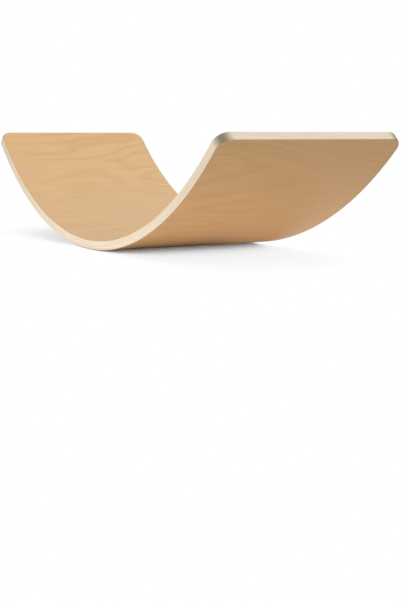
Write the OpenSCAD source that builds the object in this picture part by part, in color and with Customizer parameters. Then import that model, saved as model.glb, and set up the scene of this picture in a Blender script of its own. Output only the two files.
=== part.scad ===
// Curvy balance board: a rocker of moulded beech plywood, shown hollow side up on its belly.
// Thin veneers are laid face to face, pressed to one bend, trimmed to one outline and eased along every edge.
// X runs along the board, Y across it and Z up. The origin is the lowest point of the belly.

/* [Board] */
// Length over the two tips, measured straight across
board_length = 820; // [700:5:960]
// Width between the two long edges
board_width = 290; // [200:5:400]
// Radius of the bend, measured on the underside
bend_radius = 575; // [500:5:800]

/* [Veneers] */
// Number of core plies between the two face veneers, odd so that the stack stays balanced
core_plies = 9; // [5:2:13]
// Thickness of one core ply
core_ply_thickness = 1.5; // [1:0.1:2.5]
// Thickness of each face veneer
face_veneer_thickness = 0.75; // [0.5:0.05:1.5]

/* [Trim] */
// Radius of the four corners of the outline
corner_radius = 20; // [12:1:60]
// Radius that eases every edge of the faces
edge_radius = 2.5; // [0.5:0.25:3]

/* [Hidden] */
board_thickness = core_plies * core_ply_thickness + 2 * face_veneer_thickness;

// Each tip runs straight for one corner radius, so that its corners are rounded on flat ply.
// The bend turns through the angle at which the eased tips then end at the stated length.
tip_run = corner_radius;
eased_radius = bend_radius - edge_radius;
eased_run = tip_run - edge_radius;
eased_reach = board_length / 2 - edge_radius;
bend_half_angle = asin(eased_reach / norm([eased_radius, eased_run])) - atan2(eased_run, eased_radius);

// Angle by which each half of a bend runs on past the middle of the board, into the other half
middle_lap = 5;

// Steps of a full turn: fine for the wide bend, coarser for corners and edges
bend_steps = 240;
corner_steps = 96;

// Colours of the lacquered faces, and of the edges of core plies whose grain runs along and across the board
face_color = [0.85, 0.69, 0.50];
along_grain_color = [0.94, 0.87, 0.75];
across_grain_color = [0.86, 0.77, 0.64];

core_names = [for (i = [1 : core_plies]) str("core_ply_", i)];

// Height of the underside of core ply i above the underside of the board, through the thickness
function core_ply_height(i) = face_veneer_thickness + (i - 1) * core_ply_thickness;

// Outline across one edge of the board: inboard end at x = 0, edge at x = reach, both of its corners eased
module eased_edge(reach) {
    inner_reach = reach - edge_radius;
    square([inner_reach, board_thickness]);
    translate([0, edge_radius])
        square([reach, board_thickness - 2 * edge_radius]);
    for (y = [edge_radius, board_thickness - edge_radius])
        translate([inner_reach, y])
            circle(edge_radius, $fn = corner_steps);
}

// The part of that outline that one ply takes up, from height low to height high
module ply_edge(reach, low, high) {
    intersection() {
        eased_edge(reach);
        translate([0, low])
            square([reach, high - low]);
    }
}

// The whole section of one ply, across the width of the board
module ply_section(low, high) {
    for (side = [0, 1])
        mirror([side, 0])
            ply_edge(board_width / 2, low, high);
}

// The bend of half a ply, about the bend axis along Y: it leaves the foot of the axis level, along +X
module half_bend(low, high) {
    rotate([90, 0, 0])
        rotate([0, 0, -90])
            rotate_extrude(angle = bend_half_angle + middle_lap, $fn = bend_steps)
                translate([bend_radius, 0])
                    rotate(90)
                        ply_section(low, high);
}

// The straight tip of one ply, drawn level: it runs along +X from x = 0, with two rounded corners
module ply_tip(low, high) {
    corner_y = board_width / 2 - corner_radius;
    translate([0, corner_y, 0])
        rotate([90, 0, 0])
            linear_extrude(2 * corner_y)
                ply_edge(tip_run, low, high);
    for (side = [0, 1])
        mirror([0, side, 0])
            translate([0, corner_y, 0])
                rotate_extrude(angle = 90, $fn = corner_steps)
                    ply_edge(corner_radius, low, high);
}

// Half a ply about the bend axis: bend and straight tip meet level, then both turn up to the -X side
module half_veneer(low, high) {
    rotate([0, bend_half_angle, 0]) {
        half_bend(low, high);
        translate([0, 0, -bend_radius])
            mirror([1, 0, 0])
                ply_tip(low, high);
    }
}

// One veneer of the stack, between two heights above the underside of the board
module veneer(low, high) {
    translate([0, 0, bend_radius])
        for (side = [0, 1])
            mirror([side, 0, 0])
                half_veneer(low, high);
}

module underside_face_veneer() {
    color(face_color)
        veneer(0, face_veneer_thickness);
}

module core_ply(i) {
    color(i % 2 == 1 ? along_grain_color : across_grain_color)
        veneer(core_ply_height(i), core_ply_height(i + 1));
}

module top_face_veneer() {
    color(face_color)
        veneer(board_thickness - face_veneer_thickness, board_thickness);
}

underside_face_veneer();
for (i = [1 : core_plies]) core_ply(i);
top_face_veneer();
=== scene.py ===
import itertools
import math

import bmesh
import bpy
from mathutils import Euler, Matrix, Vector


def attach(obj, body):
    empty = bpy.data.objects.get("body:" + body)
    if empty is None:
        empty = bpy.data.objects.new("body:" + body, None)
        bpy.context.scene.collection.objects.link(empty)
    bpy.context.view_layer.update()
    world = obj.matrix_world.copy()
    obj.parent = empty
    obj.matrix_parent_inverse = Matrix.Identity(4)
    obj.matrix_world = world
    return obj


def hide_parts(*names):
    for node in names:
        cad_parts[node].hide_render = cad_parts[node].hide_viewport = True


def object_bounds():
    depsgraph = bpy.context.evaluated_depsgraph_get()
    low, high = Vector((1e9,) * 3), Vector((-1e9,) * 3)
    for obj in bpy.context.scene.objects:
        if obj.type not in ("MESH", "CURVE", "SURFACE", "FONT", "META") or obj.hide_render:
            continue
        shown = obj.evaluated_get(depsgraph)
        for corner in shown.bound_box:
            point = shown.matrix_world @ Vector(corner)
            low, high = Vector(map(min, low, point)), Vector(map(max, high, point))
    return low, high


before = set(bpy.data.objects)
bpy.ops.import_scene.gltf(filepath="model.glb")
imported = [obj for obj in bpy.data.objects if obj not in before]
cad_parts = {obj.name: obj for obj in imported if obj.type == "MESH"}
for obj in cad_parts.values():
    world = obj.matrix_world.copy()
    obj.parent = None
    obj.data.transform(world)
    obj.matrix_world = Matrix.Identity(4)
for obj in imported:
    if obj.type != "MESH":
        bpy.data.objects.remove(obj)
cad_low, cad_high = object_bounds()

# Stack of veneers
# The board is eleven beech veneers, glued face to face. The stack is trimmed to one outline with rounded
# corners and eased all round. It is drawn flat here, and each veneer is cut from it and pressed to the bend.
board_length = cad_high.x - cad_low.x
board_width = cad_high.y - cad_low.y
bend_radius = 0.575
corner_radius = 0.020
edge_radius = 0.0025
face_thickness = 0.00075
core_thickness = 0.0015
core_plies = 9
board_thickness = 2 * face_thickness + core_plies * core_thickness

# The tips stay straight for one corner radius, and the bend turns as far as the length asks
eased_radius = bend_radius - edge_radius
eased_run = corner_radius - edge_radius
eased_reach = board_length / 2 - edge_radius
tip_lean = math.atan2(eased_run, eased_radius)
bend_half_angle = math.asin(eased_reach / math.hypot(eased_radius, eased_run)) - tip_lean
bend_run = bend_radius * bend_half_angle
sheet_length = 2 * (bend_run + corner_radius)
bend_strips = 84
corner_steps = 12
edge_steps = 6
smooth_angle = math.radians(30)


def pick_edges(piece, belongs):
    """Selects, in edit mode, the edges whose two ends pass the test."""
    mesh = bmesh.from_edit_mesh(piece.data)
    for edge in mesh.edges:
        edge.select_set(belongs(*(end.co for end in edge.verts)))
    bmesh.update_edit_mesh(piece.data)


def flat_stack():
    """The trimmed stack before pressing: length along X, thickness along Y and width along Z."""
    bpy.ops.object.select_all(action="DESELECT")
    bpy.ops.mesh.primitive_cube_add(size=1, location=(0, board_thickness / 2, 0))
    stack = bpy.context.object
    stack.scale = (sheet_length, board_thickness, board_width)
    bpy.ops.object.transform_apply(location=True, rotation=False, scale=True)
    bpy.ops.object.mode_set(mode="EDIT")
    bpy.ops.mesh.select_mode(type="EDGE")
    bpy.ops.mesh.select_all(action="DESELECT")
    pick_edges(stack, lambda a, b: abs(a.y - b.y) > board_thickness / 2)
    bpy.ops.mesh.bevel(offset=corner_radius, segments=corner_steps, affect="EDGES")
    bpy.ops.mesh.select_all(action="DESELECT")
    pick_edges(stack, lambda a, b: abs(a.y - b.y) < edge_radius)
    bpy.ops.mesh.bevel(offset=edge_radius, segments=edge_steps, affect="EDGES")
    bpy.ops.object.mode_set(mode="OBJECT")
    return stack


def slice_off(plane_place, plane_normal, **cut):
    """Cuts the whole mesh in edit mode with a plane."""
    bpy.ops.mesh.select_all(action="SELECT")
    bpy.ops.mesh.bisect(plane_co=plane_place, plane_no=plane_normal, **cut)


# On its map, a veneer's sides lie in rows: a broad face is cut into two of them and a long edge into three
broad_parts = 2
edge_parts = 3
hidden_row = 0.02
shown_row = 0.40
row_gap = 0.002
run_gap = 0.02

# A face of the mesh counts as broad if its normal points up or down the stack by at least this share
broad_turn = 0.995


def lay_out(piece, low, high, under_row, top_row):
    """Lays the flat veneer out on a map. The rows of its broad faces have the given heights.

    The rows of its long edges and its ends share the rest of the map.
    """
    edge_row = (1 - broad_parts * (under_row + top_row)) / (2 * edge_parts + 2)
    sides = {
        "underside": (broad_parts, under_row),
        "top": (broad_parts, top_row),
        "back_edge": (edge_parts, edge_row),
        "front_edge": (edge_parts, edge_row),
        "left_end": (1, edge_row),
        "right_end": (1, edge_row),
    }
    heights = [parts * row for parts, row in sides.values()]
    starts = dict(zip(sides, itertools.accumulate(heights, initial=0)))
    layout = piece.data.uv_layers.new(name="OFBake")
    for face in piece.data.polygons:
        turn = face.normal
        broad = abs(turn.y) > broad_turn
        end = not broad and abs(turn.x) > abs(turn.z)
        if broad:
            side = "underside" if turn.y < 0 else "top"
        elif end:
            side = "left_end" if turn.x < 0 else "right_end"
        else:
            side = "back_edge" if turn.z < 0 else "front_edge"
        parts, row = sides[side]
        run_axis, run_length = (2, board_width) if end else (0, sheet_length)
        part = min(int((face.center[run_axis] / run_length + 0.5) * parts), parts - 1)
        row_start = starts[side] + part * row
        for corner in face.loop_indices:
            point = piece.data.vertices[piece.data.loops[corner].vertex_index].co
            run = (point[run_axis] / run_length + 0.5) * parts - part
            rise = point.z / board_width + 0.5 if broad else (point.y - low) / (high - low)
            layout.uv[corner].vector = (
                run_gap + (1 - 2 * run_gap) * run,
                row_start + row_gap + (row - 2 * row_gap) * rise,
            )


def pressed_veneer(node, finish, low, high, under_row=hidden_row, top_row=hidden_row):
    """The veneer between two heights of the stack, cut to strips across the bend and pressed round it."""
    bpy.ops.object.select_all(action="DESELECT")
    bpy.context.view_layer.objects.active = stack
    stack.select_set(True)
    bpy.ops.object.duplicate()
    piece = bpy.context.object
    piece.name = piece.data.name = "pressed_" + node
    bpy.ops.object.mode_set(mode="EDIT")
    if low > 0:
        slice_off((0, low, 0), (0, 1, 0), clear_inner=True, use_fill=True)
    if high < board_thickness:
        slice_off((0, high, 0), (0, 1, 0), clear_outer=True, use_fill=True)
    for strip in range(bend_strips + 1):
        slice_off((bend_run * (2 * strip / bend_strips - 1), 0, 0), (1, 0, 0))
    bpy.ops.mesh.select_all(action="SELECT")
    bpy.ops.mesh.normals_make_consistent(inside=False)
    bpy.ops.object.mode_set(mode="OBJECT")

    # Each point keeps its place on the flat sheet: along the board, across it and up through the stack
    sheet = piece.data.attributes.new("sheet", "FLOAT_VECTOR", "POINT")
    for vertex, place in zip(piece.data.vertices, sheet.data):
        place.vector = (vertex.co.x, -vertex.co.z, vertex.co.y)
    lay_out(piece, low, high, under_row, top_row)

    bent_share = bend_run / max(vertex.co.x for vertex in piece.data.vertices)
    press = piece.modifiers.new("press", "SIMPLE_DEFORM")
    press.deform_method = "BEND"
    press.deform_axis = "Z"
    press.angle = 2 * bend_half_angle
    press.limits = (0.5 - bent_share / 2, 0.5 + bent_share / 2)
    bpy.ops.object.modifier_apply(modifier=press.name)
    piece.rotation_euler.x = math.pi / 2
    bpy.ops.object.transform_apply(location=False, rotation=True, scale=False)

    bpy.ops.object.shade_smooth_by_angle(angle=smooth_angle)
    soften = piece.modifiers.new("soften", "WEIGHTED_NORMAL")
    soften.keep_sharp = True
    bpy.ops.object.modifier_apply(modifier=soften.name)

    piece.data.materials.clear()
    piece.data.materials.append(finish)
    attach(piece, "root")
    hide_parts(node)


stack = flat_stack()

# Face veneers
# The two show faces are thin sheets of rotary-cut beech, with the grain across the board so that they bend
# easily. They have wavy growth figure, fine fibre, short dark flecks and a clear satin lacquer, and a
# painted shade along the eased rim.
face_pale = (0.775, 0.497, 0.253, 1)
face_mid = (0.74, 0.467, 0.23, 1)
face_dark = (0.705, 0.436, 0.207, 1)
face_fibre_shade = (0.88, 0.86, 0.84, 1)
fleck_brown = (0.36, 0.19, 0.085, 1)
# Painted shade: where the eased edge cuts through a face veneer, the rim is drawn darker brown, as the
# rounded lip in shade
lip_shade_brown = (0.46, 0.34, 0.20, 1)
unshaded = (1, 1, 1, 1)
figure_tones = [(0, face_dark), (0.35, face_mid), (1, face_pale)]
face_fibre_tones = [(0.25, face_fibre_shade), (0.75, unshaded)]

# Scales are along, across and through the board, per metre, and starts are places in the endless pattern
figure_scale = (8, 2.6, 1)
figure_start = (19.2, 27.3, 0)
figure_distortion = 0.6
figure_waves = 60
calm_scale = (3, 1.5, 1)
calm_start = (5.2, 18.1, 0)
face_fibre_scale = (900, 22, 900)
fleck_scale = (620, 170, 620)

# Most of a noise lies in this range
noise_range = (0.3, 0.7)

# A fleck fades out between these distances from the middle of its cell, and cells with a low draw have none
fleck_fade = (0.14, 0.3)
fleck_draw = (0.35, 0.6)
fleck_strength = 0.35
rim_depth = 0.5 * face_thickness
lip_shade_strength = 0.8
face_lacquer = {"Specular IOR Level": 0.25, "Coat Weight": 0.15, "Coat Roughness": 0.5}
face_dull = 0.46
face_glossy = 0.38
face_pore_strength = 0.15
pore_depth = 0.0001


def add_node(tree, kind, inputs=None, **settings):
    """A new node. Its inputs are given by name or number, each as a value or as another node's output."""
    node = tree.nodes.new("ShaderNode" + kind)
    for name, value in settings.items():
        setattr(node, name, value)
    for name, value in (inputs or {}).items():
        if isinstance(value, bpy.types.NodeSocket):
            tree.links.new(value, node.inputs[name])
        else:
            node.inputs[name].default_value = value
    return node


def maths(tree, operation, *values):
    return add_node(tree, "Math", dict(enumerate(values)), operation=operation).outputs[0]


def grain_noise(tree, sheet, scale, detail, start=(0, 0, 0), **inputs):
    """Noise on the flat sheet, stretched by its scale along, across and through the board."""
    place = add_node(tree, "Mapping", {"Vector": sheet, "Scale": scale, "Location": start}).outputs[0]
    noise = add_node(tree, "TexNoise", {"Vector": place, "Scale": 1, "Detail": detail, **inputs})
    return noise.outputs["Fac"]


def spread(tree, value, low, high, to_low=0.0, to_high=1.0, kind="SMOOTHSTEP"):
    """Maps a value from one range to another, held at both ends."""
    limits = {"Value": value, "From Min": low, "From Max": high, "To Min": to_low, "To Max": to_high}
    return add_node(tree, "MapRange", limits, interpolation_type=kind).outputs[0]


def mix_colour(tree, factor, first, second, way="MIX"):
    inputs = {"Factor": factor, 6: first, 7: second}
    return add_node(tree, "Mix", inputs, data_type="RGBA", blend_type=way).outputs[2]


def ramp(tree, value, stops):
    node = add_node(tree, "ValToRGB", {"Fac": value})
    elements = node.color_ramp.elements
    while len(elements) < len(stops):
        elements.new(1)
    for element, (place, colour) in zip(elements, stops):
        element.position = place
        element.color = colour
    return node.outputs["Color"]


def new_finish(name):
    """A material with its node tree, its lacquered shader and the flat-sheet place of each point."""
    finish = bpy.data.materials.new(name)
    finish.use_nodes = True
    tree = finish.node_tree
    sheet = add_node(tree, "Attribute", attribute_name="sheet").outputs["Vector"]
    return finish, tree, tree.nodes["Principled BSDF"], sheet


def lacquer_over(tree, lacquer, colour, fibre, dull, glossy, pore_strength):
    """Gives the shader its colour, a gloss that varies with the fibre, and the fibre's fine pores."""
    tree.links.new(colour, lacquer.inputs["Base Color"])
    tree.links.new(spread(tree, fibre, *noise_range, dull, glossy), lacquer.inputs["Roughness"])
    pores = add_node(tree, "Bump", {"Height": fibre, "Strength": pore_strength, "Distance": pore_depth})
    tree.links.new(pores.outputs[0], lacquer.inputs["Normal"])


def flecks(tree, sheet):
    """1 on the short dark rays of beech, which fill some cells of the sheet, and 0 between them."""
    place = add_node(tree, "Mapping", {"Vector": sheet, "Scale": fleck_scale}).outputs[0]
    cells = add_node(tree, "TexVoronoi", {"Vector": place, "Scale": 1})
    draw = add_node(tree, "SeparateColor", {0: cells.outputs["Color"]}).outputs["Red"]
    near = spread(tree, cells.outputs["Distance"], *fleck_fade, 1, 0)
    return maths(tree, "MULTIPLY", near, spread(tree, draw, *fleck_draw))


def rim_share(tree, height):
    """0 on the flat of a face veneer and 1 where its eased edge cuts down through it."""
    depth = maths(tree, "MINIMUM", height, maths(tree, "SUBTRACT", board_thickness, height))
    return spread(tree, depth, 0, rim_depth)


def beech_face_finish():
    finish, tree, lacquer, sheet = new_finish("beech_face")
    swirl = grain_noise(
        tree, sheet, figure_scale, detail=1.5, start=figure_start, Distortion=figure_distortion
    )
    waves = maths(tree, "SINE", maths(tree, "MULTIPLY", swirl, figure_waves))
    colour = ramp(tree, spread(tree, waves, -1, 1), figure_tones)
    calm = grain_noise(tree, sheet, calm_scale, detail=1, start=calm_start)
    colour = mix_colour(tree, spread(tree, calm, *noise_range), colour, face_mid)
    fibre = grain_noise(tree, sheet, face_fibre_scale, detail=4)
    colour = mix_colour(tree, 1.0, colour, ramp(tree, fibre, face_fibre_tones), "MULTIPLY")
    fleck = maths(tree, "MULTIPLY", flecks(tree, sheet), fleck_strength)
    colour = mix_colour(tree, fleck, colour, fleck_brown)
    height = add_node(tree, "SeparateXYZ", {0: sheet}).outputs["Z"]
    # Painted shade of the rounded lip, laid along the eased rim of the face veneer
    lip_shade = maths(tree, "MULTIPLY", rim_share(tree, height), lip_shade_strength)
    colour = mix_colour(tree, lip_shade, colour, lip_shade_brown)
    lacquer_over(tree, lacquer, colour, fibre, face_dull, face_glossy, face_pore_strength)
    for name, value in face_lacquer.items():
        lacquer.inputs[name].default_value = value
    return finish


face_finish = beech_face_finish()
top_low = board_thickness - face_thickness
pressed_veneer("underside_face_veneer", face_finish, 0, face_thickness, under_row=shown_row)
pressed_veneer("top_face_veneer", face_finish, top_low, board_thickness, top_row=shown_row)

# Core plies
# Nine thicker veneers between the faces. Odd ones have their grain along the board and even ones across it,
# so that each edge shows long grain and end grain by turns, with a thin dark glue line between two plies.
long_grain_cream = (0.957, 0.875, 0.73, 1)
end_grain_tan = (0.888, 0.765, 0.597, 1)
core_fibre_shade = (0.80, 0.76, 0.70, 1)
core_fibre_tones = [(0.25, core_fibre_shade), (0.7, unshaded)]
glue_brown = (0.36, 0.23, 0.12, 1)
along_fibre_scale = (18, 900, 1100)
across_fibre_scale = (900, 18, 1100)
core_dull = 0.6
core_glossy = 0.48
core_pore_strength = 0.2
glue_half_width = 0.00005
glue_reach = 0.00014
glue_strength = 0.7

# Each rounded corner is coloured darker olive at one place on its turn, across all the plies
corner_dark_olive = (0.15, 0.122, 0.07, 1)
corner_dark_turn = math.radians(50)
corner_dark_along = sheet_length / 2 - corner_radius * (1 - math.sin(corner_dark_turn))
corner_dark_across = board_width / 2 - corner_radius * (1 - math.cos(corner_dark_turn))
corner_dark_half_width = 0.001
corner_dark_reach = 0.018
corner_dark_strength = 0.92


def glue_line(tree, height):
    """1 on the glue between two plies and 0 a little away from it."""
    plies_up = maths(tree, "DIVIDE", maths(tree, "SUBTRACT", height, face_thickness), core_thickness)
    away = maths(tree, "MULTIPLY", maths(tree, "PINGPONG", plies_up, 0.5), core_thickness)
    return spread(tree, away, glue_half_width, glue_reach, 1, 0)


def across_share(tree):
    """How squarely a surface faces across the board, from 0 to 1."""
    normal = add_node(tree, "NewGeometry").outputs["Normal"]
    across = add_node(tree, "SeparateXYZ", {0: normal}).outputs["Y"]
    return maths(tree, "MULTIPLY", across, across)


def corner_darkening(tree, along, across):
    """1 at one place on the turn of each rounded corner, and 0 along the straight edges."""
    away_along = maths(tree, "SUBTRACT", maths(tree, "ABSOLUTE", along), corner_dark_along)
    away_across = maths(tree, "SUBTRACT", maths(tree, "ABSOLUTE", across), corner_dark_across)
    away = add_node(tree, "CombineXYZ", {0: away_along, 1: away_across}).outputs[0]
    distance = add_node(tree, "VectorMath", {0: away}, operation="LENGTH").outputs["Value"]
    return spread(tree, distance, corner_dark_half_width, corner_dark_reach, 1, 0)


def core_finish(name, grain_along):
    finish, tree, lacquer, sheet = new_finish(name)
    along, across, height = add_node(tree, "SeparateXYZ", {0: sheet}).outputs
    end_share = across_share(tree)
    if grain_along:
        end_share = maths(tree, "SUBTRACT", 1.0, end_share)
    colour = mix_colour(tree, end_share, long_grain_cream, end_grain_tan)
    fibre_scale = along_fibre_scale if grain_along else across_fibre_scale
    fibre = grain_noise(tree, sheet, fibre_scale, detail=3)
    colour = mix_colour(tree, 1.0, colour, ramp(tree, fibre, core_fibre_tones), "MULTIPLY")
    glue = maths(tree, "MULTIPLY", glue_line(tree, height), glue_strength)
    colour = mix_colour(tree, glue, colour, glue_brown)
    corner_dark = maths(tree, "MULTIPLY", corner_darkening(tree, along, across), corner_dark_strength)
    colour = mix_colour(tree, corner_dark, colour, corner_dark_olive)
    lacquer_over(tree, lacquer, colour, fibre, core_dull, core_glossy, core_pore_strength)
    return finish


core_finishes = {
    "core_grain_along": core_finish("core_grain_along", True),
    "core_grain_across": core_finish("core_grain_across", False),
}
for ply in range(1, core_plies + 1):
    grain = "core_grain_along" if ply % 2 else "core_grain_across"
    ply_low = face_thickness + (ply - 1) * core_thickness
    pressed_veneer(f"core_ply_{ply}", core_finishes[grain], ply_low, ply_low + core_thickness)
bpy.data.objects.remove(stack)

# Floor
# A plain pale studio floor. The camera sees it white with the board's shadow, and it sends the underside
# less light than white paper would. It lies off centre, so that its diagonal seam misses the board.
floor_size = 120
floor_shift = 20
bounce_grey = (0.12, 0.12, 0.12, 1)
glow_cream = (0.9, 0.79, 0.69, 1)
glow_middle = (0.1, -0.15, 0)
glow_full = 0.15
glow_end = 0.85

# The glow starts a little away from the line on which the belly stands. Behind the middle it starts nearer
# to that line, and in front of the board it is open
foot_dark = 0.05
foot_clear = 0.25
back_gain = 0.8
front_start = 0.13
front_gain = 10

# How dark the floor looks for the share of the sky that it sees, and how the shade deepens left of the foot
sky_reach = 1.0
sky_samples = 64
foot_shades = [
    (0, (0.05, 0.035, 0.02, 1)),
    (0.016, (0.35, 0.34, 0.33, 1)),
    (0.05, (0.8, 0.8, 0.8, 1)),
    (0.12, (0.9, 0.9, 0.9, 1)),
    (0.6, (1, 1, 1, 1)),
]
left_sky = (0.2, 0.85)
left_shade = 0.8
left_full = -0.15

bpy.ops.object.select_all(action="DESELECT")
bpy.ops.mesh.primitive_plane_add(size=floor_size, location=(floor_shift, 0, 0))
bpy.ops.object.transform_apply(location=True, rotation=False, scale=False)
floor = bpy.context.object
floor.name = "studio_floor"


def seen_ray(tree):
    """1 where the camera looks, straight, in a reflection or through glass, and 0 for light that spreads."""
    rays = add_node(tree, "LightPath").outputs
    seen = maths(tree, "MAXIMUM", rays["Is Camera Ray"], rays["Is Glossy Ray"])
    return maths(tree, "MAXIMUM", seen, rays["Is Transmission Ray"])


def floor_light(tree, place, along, across):
    """The light that the floor sends to the board: a grey bounce, and a warm glow on its open stretches."""
    behind = maths(tree, "MAXIMUM", across, 0.0)
    from_foot = maths(tree, "MULTIPLY_ADD", behind, back_gain, maths(tree, "ABSOLUTE", along))
    in_front = maths(tree, "MULTIPLY_ADD", across, -front_gain, -front_gain * front_start)
    clear = spread(tree, maths(tree, "MAXIMUM", from_foot, in_front), foot_dark, foot_clear)
    away = add_node(tree, "VectorMath", {0: place, 1: glow_middle}, operation="DISTANCE").outputs["Value"]
    strength = maths(tree, "MULTIPLY", clear, spread(tree, away, glow_full, glow_end, 1, 0))
    glow = add_node(tree, "Emission", {"Color": glow_cream, "Strength": strength})
    bounce = add_node(tree, "BsdfDiffuse", {"Color": bounce_grey})
    return add_node(tree, "AddShader", {0: glow.outputs[0], 1: bounce.outputs[0]}).outputs[0]


def floor_look(tree, along):
    """White paper with the board's soft shadow, which reflections show a little darker."""
    open_sky = add_node(tree, "AmbientOcclusion", {"Distance": sky_reach}, samples=sky_samples).outputs["AO"]
    shade = ramp(tree, open_sky, foot_shades)
    thrown = spread(tree, open_sky, *left_sky, left_shade, 1)
    shade = mix_colour(tree, spread(tree, along, 0, left_full), shade, thrown, "MULTIPLY")
    mirrored_shade = maths(tree, "MULTIPLY", open_sky, open_sky)
    mirrored = add_node(tree, "LightPath").outputs["Is Glossy Ray"]
    paper = mix_colour(tree, mirrored, shade, mirrored_shade)
    return add_node(tree, "Emission", {"Color": paper}).outputs[0]


def floor_paper():
    finish = bpy.data.materials.new("studio_floor")
    finish.use_nodes = True
    tree = finish.node_tree
    tree.nodes.clear()
    place = add_node(tree, "TexCoord").outputs["Object"]
    along, across, _ = add_node(tree, "SeparateXYZ", {0: place}).outputs
    light = floor_light(tree, place, along, across)
    surface = add_node(tree, "MixShader", {0: seen_ray(tree), 1: light, 2: floor_look(tree, along)})
    add_node(tree, "OutputMaterial", {"Surface": surface.outputs[0]})
    return finish


floor.data.materials.append(floor_paper())

# Light
# Soft studio light: an even white room, and one broad lamp low in front of the board, on the camera's side.
room_white = (1, 1, 1, 1)
room_strength = 0.75
lamp_strength = 1.4
lamp_lean = math.radians(70)
lamp_bearing = math.radians(45)
lamp_breadth = math.radians(50)
scene = bpy.context.scene
scene.view_settings.view_transform = "Standard"
room = bpy.data.worlds.new("studio_room")
scene.world = room
room.use_nodes = True
room_tree = room.node_tree
walls = room_tree.nodes["Background"]
walls.inputs["Color"].default_value = room_white
room_light = spread(room_tree, seen_ray(room_tree), 0, 1, room_strength, 1, "LINEAR")
room_tree.links.new(room_light, walls.inputs["Strength"])
bpy.ops.object.light_add(type="SUN", rotation=Euler((lamp_lean, 0, lamp_bearing)))
lamp = bpy.context.object.data
lamp.energy = lamp_strength
lamp.angle = lamp_breadth

# Camera
# A long lens low on the right, level with the tips.
# It sees the hollow on the left and the belly on the right.
camera_place = (1.5859, -0.8347, 0.1789)
camera_bearing = math.radians(60.616)
camera_dip = math.radians(8.618)
camera_lens = 65.64
camera_sensor = 36
bpy.ops.object.camera_add(location=camera_place)
camera = bpy.context.object
camera.rotation_euler = (math.pi / 2 - camera_dip, 0, camera_bearing)
camera.data.sensor_width = camera_sensor
camera.data.lens = camera_lens
scene.camera = camera
